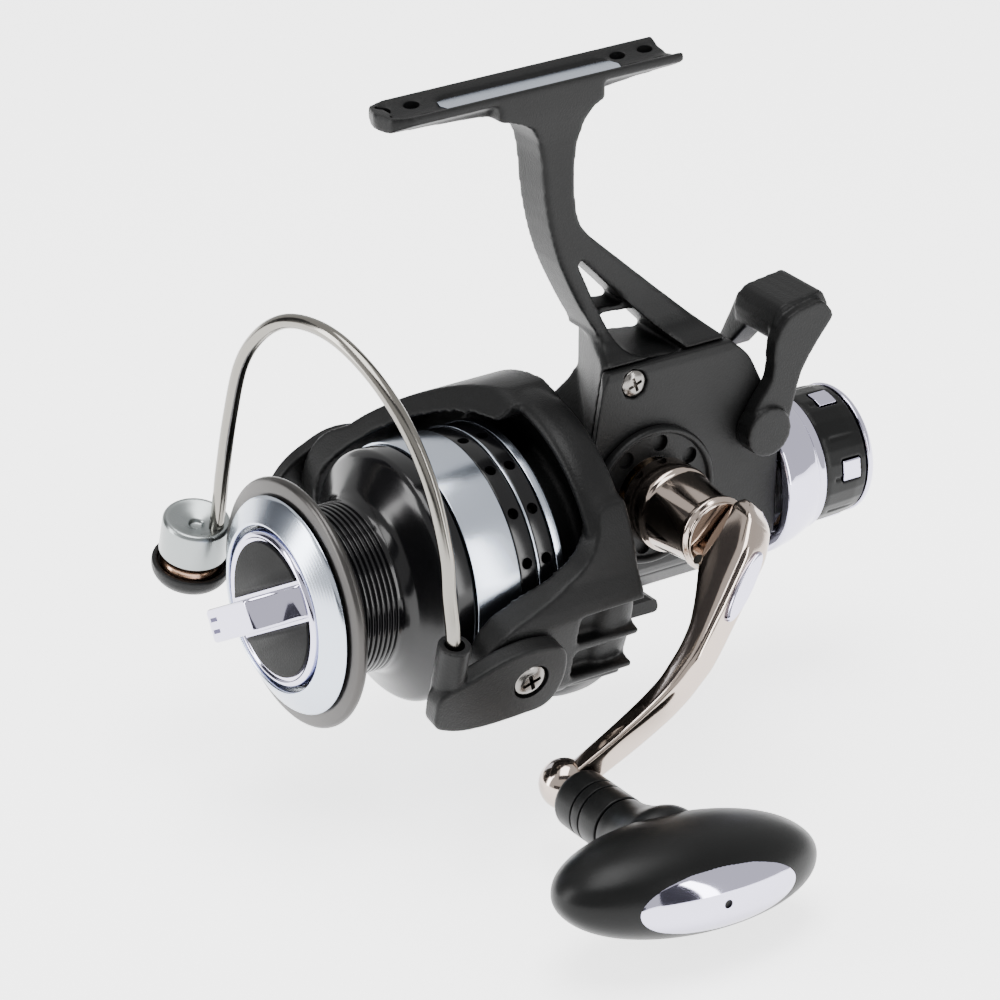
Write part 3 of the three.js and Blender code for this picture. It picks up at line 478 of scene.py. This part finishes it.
def rotor_arm(plan, side):
    """One arm of the rotor: its plan kept where it meets a tubular shell, joined to a thicker slab outside,
    with three pockets and the bore of the bail hinge cut from it."""
    place = ROTOR @ np.diag([side, 1.0, 1, 1])
    arm = slab("tool", plan, 4, 40, 0, along_x, place, "zinc", None, rim=1)
    wall = [[28.2, -41], [32.6, -41], [32.6, 11], [28.2, 11]]
    shell = lathe("tool", wall, ROTOR, "zinc", None, sides=200)
    combine(arm, [shell], "INTERSECT")
    core = slab("tool", plan, 28.6, 33.6, 0, along_x, place, "zinc", None, rim=1)
    section = slab("tool", arm_section, -40, 10, 0, along_y, place, "zinc", None, rim=1)
    combine(core, [section], "INTERSECT")
    combine(arm, [core], "UNION")
    hinge = ROTOR @ turn("Z", 0 if side > 0 else 180) @ shift(0, PIVOT_Y * side, 0) @ LATHE_X
    cuts = [tool_rod(1.7, 24, 40, hinge, 32)]
    for low, high in POCKETS:
        hollow = [[-9.4, low + 0.4, 1], [-9.4, high - 0.4, 1], [6.4, high], [6.4, low]]
        cuts.append(slab("tool", hollow, 30.6, 40, 0, along_x, place, "zinc", None, rim=1))
    return combine(arm, cuts)


rotor = lathe("rotor_moulded", cup, ROTOR, "matt_black", "rotor", ["rotor"], sides=200)
combine(rotor, [rotor_arm(near_plan, 1), rotor_arm(far_plan, -1)], "UNION")
soften(rotor, 0.5, 3)
print("rotor:", len(rotor.data.polygons), "faces")

bail_plan = [
    [PIVOT_Y + 8.4, -1, 5], [PIVOT_Y + 5.6, -7.8, 4], [PIVOT_Y - 8, -8.4, 6], [-38, -7.6, 3],
    [-43.6, -5, 2], [-44, 3, 3], [-37, 4.6, 5], [-31, 7, 5], [PIVOT_Y - 1, 8.4, 5],
    [PIVOT_Y + 7.4, 6.6, 5],
]
TUBE_X, TUBE_Y = 34.6, -39.8  # the upright tube that grips the wire
upright_tube = ROTOR @ shift(TUBE_X, TUBE_Y, 0) @ turn("X", 90)
bail_arm = slab("bail_arm_moulded", bail_plan, 33.9, 38, 0.5, along_x, ROTOR, "matt_black", "bail",
                ["bail_arm"], steps=8)
combine(bail_arm, [tool_rod(3.2, -5, 12.4, upright_tube, 64)], "UNION")
soften(bail_arm, 0.25, 4)
combine(bail_arm, [
    tool_rod(2.0, 4, 14, upright_tube, 48),
    tool_rod(3.9, 36.4, 42, ROTOR @ shift(0, PIVOT_Y, 0) @ LATHE_X, 64),
])
roller_plan = [
    [PIVOT_Y + 8, 0, 5], [PIVOT_Y + 5, -8, 4], [-38, -14.4, 5], [-49, -19.4, 3], [-49, -16, 2],
    [-40, -9.4, 4], [-34, 3, 4], [PIVOT_Y - 2, 8.4, 4], [PIVOT_Y + 6.6, 7, 4],
]
roller_arm = slab("roller_arm_moulded", roller_plan, -36.6, -33.9, 0.4, along_x, ROTOR, "matt_black", "bail",
                  ["roller_arm"], steps=8)
roller_cup = [[2.1, 14.7], [6.8, 14.7, 0.2], [6.8, 13.5, 0.1], [7.9, 13.5, 0.3], [7.9, 15.6, 1.5],
              [6.4, 17.8, 1.5], [2.1, 17.8]]
combine(roller_arm, [lathe("tool", roller_cup, ROLLER, "zinc", None, sides=96)], "UNION")
soften(roller_arm, 0.25, 4)
print("bail arms:", len(bail_arm.data.polygons), len(roller_arm.data.polygons), "faces")

# %% [markdown]
# ## Bail wire
# One length of stainless wire bent round the spool. A smooth curve through the given points gives the
# bend its even sweep, and the same points place the CAD wire.

# %% Bail wire
wire_points = [
    [TUBE_X, TUBE_Y, 4.6], [TUBE_X, TUBE_Y, 9], [33.6, -39.8, 14], [30.4, -39.8, 21], [27.4, -39.9, 29],
    [20.8, -40.6, 39.4], [12.7, -41.8, 47.4], [3.4, -43.4, 52.6], [-6.7, -45.2, 55], [-15, -46.8, 54.2],
    [-22.4, -48.4, 50.6], [-27.8, -49.8, 44], [-30.8, -51, 35], [-31.4, -51.4, 22], [-31.3, -51.4, 9],
    [-31.2, -51.2, 2], [-31.2, -51.1, -3], [-31.2, -51.1, -8],
]
tube("bail_wire_bent", smooth_path(wire_points, 260), 1.45, ROTOR, "steel", "bail", ["bail_wire"])
lathe(
    "roller_cap_turned",
    [[0, 5.4], [1.2, 5.3, 0.3], [1.5, 4.6, 0.3], [4.2, 3.7, 1], [5.6, 3.1, 0.3], [6.2, 3.1, 0.3],
     [6.8, 3.7, 0.4], [6.8, 11.2, 0.3], [0, 11.2]],
    ROLLER, "satin_aluminium", "bail", ["roller_cap"], sides=96,
)
lathe(
    "line_roller_turned",
    [[2.1, 11.5], [6.4, 11.5, 0.3], [5.6, 12.2, 0.6], [5.6, 13, 0.6], [6.3, 14.4, 0.2], [2.1, 14.4]],
    ROLLER, "copper", "roller", ["line_roller"], sides=96,
)
print("bail wire and roller")

# %% [markdown]
# ## Screws
# Pan-headed cross-slot screws: a turned head, with two crossing slots cut to the same depth.

# %% Screws
def screw(name, head, rise, place, body, node, shank, depth):
    """A pan head of the given radius and rise, with a cross slot, over a plain shank."""
    obj = lathe(
        name,
        [[0, -depth], [shank, -depth], [shank, 0], [head, 0, 0.1], [head, rise * 0.55, 0.4],
         [head * 0.62, rise, 0.6], [0, rise]],
        place, "screw_steel", body, [node], sides=64, slot="steel",
    )
    long, wide = 0.56 * head, 0.12 * head
    corners = [[-long, -wide], [long, -wide], [long, wide], [-long, wide]]
    tools = []
    for degrees in (20, 110):
        tools.append(slab("tool", corners, rise * 0.35, rise + 1, 0, along_y, place @ turn("Y", degrees),
                          "zinc", None, rim=1))
    return combine(obj, tools)


COVER_SCREWS = [(17.2, -62.6), (11.5, -100.5), (38.5, -101.5)]
COVER_SCREW_X, BAIL_SCREW_X, ROLLER_SCREW_X = 12.2, 36.7, -36.9
for i, (y, z) in enumerate(COVER_SCREWS):
    screw(f"cover_screw_head_{i + 1}", 2.8, 1.3, shift(COVER_SCREW_X, y, z) @ LATHE_X, "frame",
          f"cover_screw_{i + 1}", 1.2, 7.5)
screw("bail_screw_head", 3.6, 1.5, ROTOR @ shift(BAIL_SCREW_X, PIVOT_Y, 0) @ LATHE_X, "rotor",
      "bail_screw", 1.4, 9)
screw("roller_arm_screw_head", 3.6, 1.5,
      ROTOR @ shift(ROLLER_SCREW_X, PIVOT_Y, 0) @ turn("Y", 180) @ LATHE_X, "rotor",
      "roller_arm_screw", 1.4, 9)
print("screws")

# %% [markdown]
# ## Spool
# The spool is turned from aluminium bar and anodised gloss black, then the lip, cone and skirt bands are
# cut bright. Two rows of drilled holes lighten the skirt. The arbor carries shallow grooves so that line
# grips.

# %% Spool
ARBOR_R, GROOVES, GROOVE_STEP = 16.9, 9, 1.15
arbor = [[2.6, -50.5], [ARBOR_R, -50.5, 0.3]]
for i in range(GROOVES):
    groove = -49.4 + i * GROOVE_STEP
    arbor += [[ARBOR_R, groove, 0.12], [16.35, groove + 0.3, 0.15], [ARBOR_R, groove + 0.6, 0.12]]
flange = [[ARBOR_R, -38.6, 1], [17.8, -36.6, 1.5], [21, -34.4, 2], [24.4, -32.6, 1.2], [25.2, -31.6, 0.6],
          [25.2, -27.6, 0.3]]
skirt = [[24.6, -27.3, 0.2], [24.6, -16.9], [25.3, -16.9, 0.3], [25.3, -13.1, 0.2], [24.6, -13.1],
         [24.6, -12.3], [25.3, -12.3, 0.2], [25.3, -8.9, 0.2], [24.6, -8.9], [24.6, -6.9], [22.8, -6.9]]
inside = [[22.8, -30, 1], [21.6, -31.6, 1], [16.4, -34.4, 1], [15.2, -38, 1], [14.8, -48.4], [6, -48.4],
          [6, -31], [2.6, -31]]
spool = lathe("spool_turned", arbor + flange + skirt + inside, SHAFT, "gloss_black", "spool", ["spool"])
HOLES, HOLE_R, FIRST_HOLE, HOLE_ROWS = 16, 1.15, 4.0, (-15.0, -10.6)
holes = []
for row in HOLE_ROWS:
    for i in range(HOLES):
        place = SHAFT @ turn("Y", FIRST_HOLE + i * 360 / HOLES) @ shift(0, row, 0) @ turn("X", 90)
        holes.append(tool_rod(HOLE_R, 20, 28, place, 24))
combine(spool, holes)
lathe("spool_lip_turned",
      [[17, -50.8], [23.4, -50.8, 0.4], [24.7, -51.5, 0.4], [25, -52.4, 0.5], [24.5, -53.2, 0.5],
       [22.2, -53.6, 0.3], [17, -53.2]],
      SHAFT, "dark_satin", "spool", ["spool_lip"])
lathe("spool_cone_turned",
      [[16.5, -53.6], [21.2, -53.9, 0.1], [21.8, -54.3, 0.25], [21.4, -54.9, 0.3], [16.9, -57.6, 0.3],
       [16.5, -57.3, 0.2]],
      SHAFT, "bright", "spool", ["spool_cone_ring"])
for name, node, low, high in (
    ("skirt_band_wide_turned", "skirt_band_wide", -27.1, -17.1),
    ("skirt_band_thin_turned", "skirt_band_thin", -12.95, -12.45),
    ("skirt_band_rear_turned", "skirt_band_rear", -8.6, -6.9),
):
    band = [[24.9, low], [25.55, low, 0.12], [25.55, high, 0.12], [24.9, high]]
    lathe(name, band, SHAFT, "bright", "spool", [node])
print("spool with", len(holes), "holes")

# %% [markdown]
# ## Spool knob
# A chromed disc with a tall finger bar across it, and a flat black lens on either side of the bar.

# %% Spool knob
BAR = SHAFT @ turn("Y", -30)
lathe("spool_knob_disc",
      [[0, -52.8], [15.2, -52.8], [15.7, -56.2, 0.4], [15.3, -57.6, 0.5], [14.5, -58, 0.3],
       [14.1, -57.5, 0.3], [0, -57.2]],
      BAR, "lilac_chrome", "front_knob", ["spool_knob"])
bar_side = [[-13.9, -57], [-13.4, -58.8, 2.5], [-10.4, -61.4, 2.5], [-9.0, -66.4, 1.2], [-8.2, -67.2, 0.8],
            [8.2, -67.2, 0.8], [9.0, -66.4, 1.2], [10.4, -61.4, 2.5], [13.4, -58.8, 2.5], [13.9, -57]]
knob_bar = slab("spool_knob_bar", bar_side, -3.3, 3.3, 0.7, along_z, BAR, "lilac_chrome", "front_knob")
bar_slots = []
for offset in (-1.15, 1.15):
    slot = [[-7.2, offset - 0.4], [7.2, offset - 0.4, 0.3], [7.2, offset + 0.4, 0.3], [-7.2, offset + 0.4]]
    bar_slots.append(slab("tool", slot, -68, -66.5, 0, along_y, BAR, "zinc", None, rim=1))
combine(knob_bar, bar_slots)
LENS_R = 13.5
lens_outline = []
for degrees in np.linspace(17, 163, 25):
    lens_outline.append([LENS_R * math.cos(math.radians(degrees)), LENS_R * math.sin(math.radians(degrees))])
for i, degrees in enumerate((0, 180)):
    slab(f"spool_knob_lens_{i + 1}", lens_outline, -58.0, -57.3, 0.3, along_y, BAR @ turn("Y", degrees),
         "inset_black", "front_knob", [f"spool_knob_inset_{i + 1}"], slot="matt_black")
print("spool knob")

# %% [markdown]
# ## Rear bell and drag knob
# The bell is a plated turning that steps from the case down to the knob. The knob is rubbery black with
# chrome windows, a chrome ring and a flat cap behind it.

# %% Rear bell and drag knob
lathe("rear_bell_turned",
      [[14.6, 52.6], [16.8, 52.6, 0.5], [16.9, 54, 1.5], [16.2, 58, 3], [15, 61.4, 1], [14.3, 62.4, 0.6],
       [14.4, 63.9, 0.4], [13.2, 63.9], [13, 62], [14.4, 57]],
      SHAFT, "lilac_chrome", "frame", ["rear_bell"])
lathe("drag_knob_ring_turned",
      [[8, 75], [13.3, 75, 0.3], [13.4, 75.6, 0.4], [12.9, 76.6, 0.5], [11.6, 76.9, 0.4], [11, 76.2, 0.3],
       [8, 76.2]],
      SHAFT, "lilac_chrome", "rear_knob", ["drag_knob_end_ring"])
lathe("drag_knob_cap_turned",
      [[0, 76.5], [7.6, 76.5], [10.6, 76.5, 0.3], [10.4, 77, 0.4], [6, 77.9, 2], [0, 78.1]],
      SHAFT, "soft_black", "rear_knob", ["drag_knob_cap"])
soften(copy_of("drag_knob", "drag_knob_moulded", "soft_black", "rear_knob"), 0.25, 4)
soften(copy_of("drag_knob_windows", "drag_knob_windows_plated", "lilac_chrome", "rear_knob"), 0.16, 3)
print("rear knob")

# %% [markdown]
# ## Free-spool lever
# A thumb lever on one arm at the handle side, with ribs across its pad and a short leg over the case.

# %% Free-spool lever
lever = soften(copy_of("free_spool_lever", "free_spool_lever_moulded", "matt_black", "lever"), 0.3, 8)
print("lever:", len(lever.data.polygons), "faces")

# %% [markdown]
# ## Handle
# The hub is turned and plated black nickel; the crank is forged, a curved bar that swells and thins,
# plated the same. The knob shaft runs from the ball at the end of the crank.

# %% Handle
lathe("handle_hub_turned",
      [[2.5, 16.4], [8.3, 16.4, 0.2], [8.9, 17.2, 0.5], [8.9, 22.8, 0.5], [8.2, 23.6, 0.5], [7.2, 33.4, 0.6],
       [7.1, 34.4, 0.3], [7.7, 34.8, 0.25], [7.7, 35.8, 0.3], [6.9, 36.2, 0.2], [6.9, 37, 0.3], [0, 37],
       [0, 35.4], [2.5, 35.4]],
      HANDLE @ LATHE_X, "black_nickel", "handle", ["handle_hub"])
lathe("handle_cap_turned",
      [[0, -22], [4, -22, 1], [6.4, -20.8, 1], [7.6, -18, 1.5], [8.4, -14.4, 1], [8.2, -13.8, 0.3],
       [2.5, -13.8], [2.5, -19.4], [0, -19.4]],
      HANDLE @ LATHE_X, "black_nickel", "handle", ["handle_shaft_cap"])


CRANK_POWER = 0.44


def squared(wave, power):
    """A sine or cosine with fuller flanks, sgn(w)|w|^power: below 1 it squares a circle's section."""
    return np.sign(wave) * np.abs(wave) ** power


def crank_bar(name):
    """A bar whose centre line and half sizes follow the crank's distance s from the handle shaft; its section
    is a superellipse, x = cx + a sgn(cos t)|cos t|^0.44, y = b sgn(sin t)|sin t|^0.44."""
    s = np.array([-8.6, -8.0, -6.8, -4, -1, 3, 6.7, 10, 13.4, 17.3, 22, 29.1, 33.9, 38.9, 44, 49, 53, 57.5])
    outer = np.array([40.5, 42.4, 44.4, 46.9, 48.8, 49.9, 50.9, 51.8, 52.6,
                      53.6, 54.6, 54.4, 53.5, 52.0, 50.2, 48.2, 46.6, 44.6])
    inner = np.array([38.6, 37.8, 37.5, 37.4, 37.4, 37.8, 39.2, 42.0, 44.6,
                      47.2, 48.6, 49.3, 48.5, 47.1, 45.5, 43.8, 42.4, 41.4])
    half = np.array([1.8, 2.8, 3.4, 3.7, 3.8, 3.7, 3.6, 3.5, 3.4,
                     3.3, 3.2, 3.1, 3.1, 3.0, 2.9, 2.8, 2.8, 2.4])
    ends = np.linspace(-8.6, -6, 12), np.linspace(55, 57.5, 12)
    fine = np.concatenate([ends[0], np.linspace(-5.8, 54.8, 130), ends[1]])
    stations = [np.interp(fine, s, v) for v in (outer, inner, half)]
    kernel = np.hanning(13) / np.hanning(13).sum()
    outer, inner, half = [np.convolve(np.pad(v, 6, mode="edge"), kernel, mode="valid") for v in stations]
    t = np.linspace(0, 2 * math.pi, 56, endpoint=False)
    cos, sin = squared(np.cos(t), CRANK_POWER), squared(np.sin(t), CRANK_POWER)
    x = ((outer + inner) / 2)[:, None] + ((outer - inner) / 2)[:, None] * cos
    y = half[:, None] * sin
    points = np.stack([x, y, -fine[:, None] + 0 * x], axis=-1).reshape(-1, 3)
    faces = grid_faces(len(fine), len(t))
    faces.append(list(range(len(t))))
    faces.append(list(range((len(fine) - 1) * len(t), len(fine) * len(t))))
    return to_object(name, apply(CRANK, points), faces, "black_nickel", "crank", ["crank_arm"],
                     smooth_angle=60)


crank_bar("crank_forged")
BALL_R, BALL_X = 5.1, 43.4
ball_profile = [[BALL_R * math.sin(a), -BALL_R * math.cos(a)] for a in np.linspace(0, math.pi, 40)]
lathe("crank_ball", ball_profile, CRANK @ shift(BALL_X, -0.6, 0.6 - CRANK_R) @ LATHE_X, "black_nickel",
      "crank", sides=72)
print("handle")

# %% [markdown]
# ## Knob
# The T-knob is a soft-touch shell round a neck; a polished oval is let into its outer face.

# %% Knob
KNOB_HALF = (13.4, 28.6, 10.2)


def egg(name, half, place, material, body, replaces, power=1.0, rows=90, columns=120):
    """An ellipsoid with half sizes along x, y, z, blunted a little at its ends: its ring is sin(a)^0.92."""
    a = np.linspace(0, math.pi, rows)[:, None]
    b = np.linspace(0, 2 * math.pi, columns, endpoint=False)[None, :]
    ring = np.sin(a) ** 0.92
    cos, sin = squared(np.cos(b), power), squared(np.sin(b), power)
    points = np.stack([half[0] * ring * cos, half[1] * -np.cos(a) + 0 * b, half[2] * ring * sin], -1)
    faces = grid_faces(rows, columns)
    points = apply(place, points.reshape(-1, 3))
    return to_object(name, points, faces, material, body, replaces, smooth_angle=180)


egg("knob_grip_moulded", KNOB_HALF, KNOB, "soft_black", "grip", ["knob_grip"], 0.92)
lathe("knob_root_moulded",
      [[2, 62.3], [6, 62.3, 0.3], [6.3, 65, 2], [7.6, 69.5, 3], [10.4, 74.5, 2], [8.4, 79], [2, 79]],
      GRIP @ LATHE_X, "soft_black", "grip", sides=96)
neck = [[2, 48], [5.6, 48, 0.4], [6, 48.8, 0.4]]
for start in (53.6, 56.2):
    neck += [[6.05, start, 0.1], [5.6, start + 0.1, 0.1], [5.6, start + 0.4, 0.1], [6.05, start + 0.5, 0.1]]
neck += [[6.1, 61.9, 0.3], [2, 61.9]]
lathe("knob_neck_turned", neck, GRIP @ LATHE_X, "soft_black", "grip", ["knob_neck"], sides=96)


def oval_inlay(name, long_half, short_half, rise, bulge, place, material, body, replaces):
    """A pillow over an ellipse in local y-z: x is the height of the surface under it, bulge(y, z), plus a rise
    that falls off at the rim."""
    r = np.concatenate([np.linspace(0, 0.94, 24), np.linspace(0.95, 1.0, 8)])[:, None]
    b = np.linspace(0, 2 * math.pi, 96, endpoint=False)[None, :]
    y, z = long_half * r * np.cos(b), short_half * r * np.sin(b)
    base = bulge(y, z)
    rim = np.sqrt(np.clip(1 - np.clip((r - 0.9) / 0.1, 0, 1) ** 2, 0, 1))
    top = np.stack([base + rise * rim, y, z], -1)
    low = np.stack([base - 0.8 + 0 * rim, y, z], -1)[::-1]
    points = np.concatenate([top, low]).reshape(-1, 3)
    faces = grid_faces(len(r) * 2, 96)
    return to_object(name, apply(place, points), faces, material, body, replaces, smooth_angle=50)


def egg_surface(y, z):
    """How far the knob's face stands out: x = hx sqrt(1 - (y/hy)^2 - (z/hz)^2)."""
    hx, hy, hz = KNOB_HALF
    return hx * np.sqrt(np.clip(1 - (y / hy) ** 2 - (z / hz) ** 2, 0.02, 1))


inlay = oval_inlay("knob_inlay_plated", 17.8, 7.3, 0.45, egg_surface, KNOB, "lilac_chrome", "grip",
                   ["knob_inlay"])
combine(inlay, [tool_rod(0.9, 9, 18, KNOB @ LATHE_X, 32)])
oval_inlay("crank_inlay_plated", 1.9, 7.6, 0.7, lambda y, z: 0 * y,
           CRANK @ shift(50.75, 0, -5.6) @ turn("Y", -15), "lilac_chrome", "crank", ["crank_inlay"])
print("knob")

# %% [markdown]
# ## Floor, light and camera
# A plain pale floor, three broad soft lights as in a product studio, and dark cards for the plating to
# reflect. The camera stands to the front right, above the reel, with a long lens.

# %% Floor, light and camera
def card(name, size, location, target, color, strength=0.0):
    """A flat card that faces the target: grey, black or lit."""
    mesh = bpy.data.meshes.new(name)
    w, h = size[0] / 2, size[1] / 2
    mesh.from_pydata([(-w, -h, 0), (w, -h, 0), (w, h, 0), (-w, h, 0)], [], [(0, 1, 2, 3)])
    obj = bpy.data.objects.new(name, mesh)
    bpy.context.collection.objects.link(obj)
    direction = Vector(target) - Vector(location)
    obj.rotation_euler = direction.to_track_quat("-Z", "Y").to_euler()
    obj.location = location
    material = bpy.data.materials.new(name)
    material.use_nodes = True
    shader = material.node_tree.nodes["Principled BSDF"]
    shader.inputs["Base Color"].default_value = (*color, 1)
    shader.inputs["Roughness"].default_value = 0.9
    shader.inputs["Emission Color"].default_value = (*color, 1)
    shader.inputs["Emission Strength"].default_value = strength
    mesh.materials.append(material)
    return obj


def softbox(name, location, target, size, power):
    light = bpy.data.lights.new(name, "AREA")
    light.shape = "RECTANGLE"
    light.size, light.size_y = size
    light.energy = power
    obj = bpy.data.objects.new(name, light)
    bpy.context.collection.objects.link(obj)
    obj.location = location
    obj.rotation_euler = (Vector(target) - Vector(location)).to_track_quat("-Z", "Y").to_euler()
    return obj


MIDDLE = (0.015, -0.015, -0.078)
FLOOR_Z = -0.1415
card("floor", (8, 8), (0, 0, FLOOR_Z), (0, 0, -1), (0.95, 0.95, 0.95), 2.6)
world = bpy.data.worlds.new("studio")
bpy.context.scene.world = world
world.use_nodes = True
world.node_tree.nodes["Background"].inputs[0].default_value = (1, 1, 1, 1)
world.node_tree.nodes["Background"].inputs[1].default_value = 0.95
softbox("top_light", (0.1, -0.1, 0.8), MIDDLE, (0.5, 0.9), 12)
softbox("front_light", (-0.35, -0.9, 0.2), MIDDLE, (0.25, 0.9), 9)
softbox("right_light", (0.95, 0.35, 0.15), MIDDLE, (0.25, 0.9), 9)
BLACK = (0.008, 0.008, 0.01)
card("dark_card_low", (0.9, 0.2), (0.5, -0.62, -0.03), MIDDLE, BLACK)
card("dark_card_side", (0.2, 0.7), (0.66, 0.12, 0.05), MIDDLE, BLACK)
card("dark_card_left", (0.35, 0.8), (-0.5, -0.45, 0.05), MIDDLE, BLACK)
card("dark_card_high", (0.9, 0.3), (0.45, -0.3, 0.62), MIDDLE, BLACK)

camera_data = bpy.data.cameras.new("camera")
camera = bpy.data.objects.new("camera", camera_data)
bpy.context.collection.objects.link(camera)
bpy.context.scene.camera = camera
AZIMUTH, ELEVATION, DISTANCE = math.radians(56.4), math.radians(25.6), 1.0245
AIM = Vector((0.01475, -0.0151, -0.0782))
level = math.cos(ELEVATION)
back = Vector((math.sin(AZIMUTH) * level, -math.cos(AZIMUTH) * level, math.sin(ELEVATION)))
camera.location = AIM + DISTANCE * back
camera.rotation_euler = (-back).to_track_quat("-Z", "Y").to_euler()
camera_data.lens = 192.7  # millimetres
camera_data.sensor_width = 36
camera_data.clip_end = 50
print("studio and camera")

# %% [markdown]
# ## End

# %% End
print("scene built")
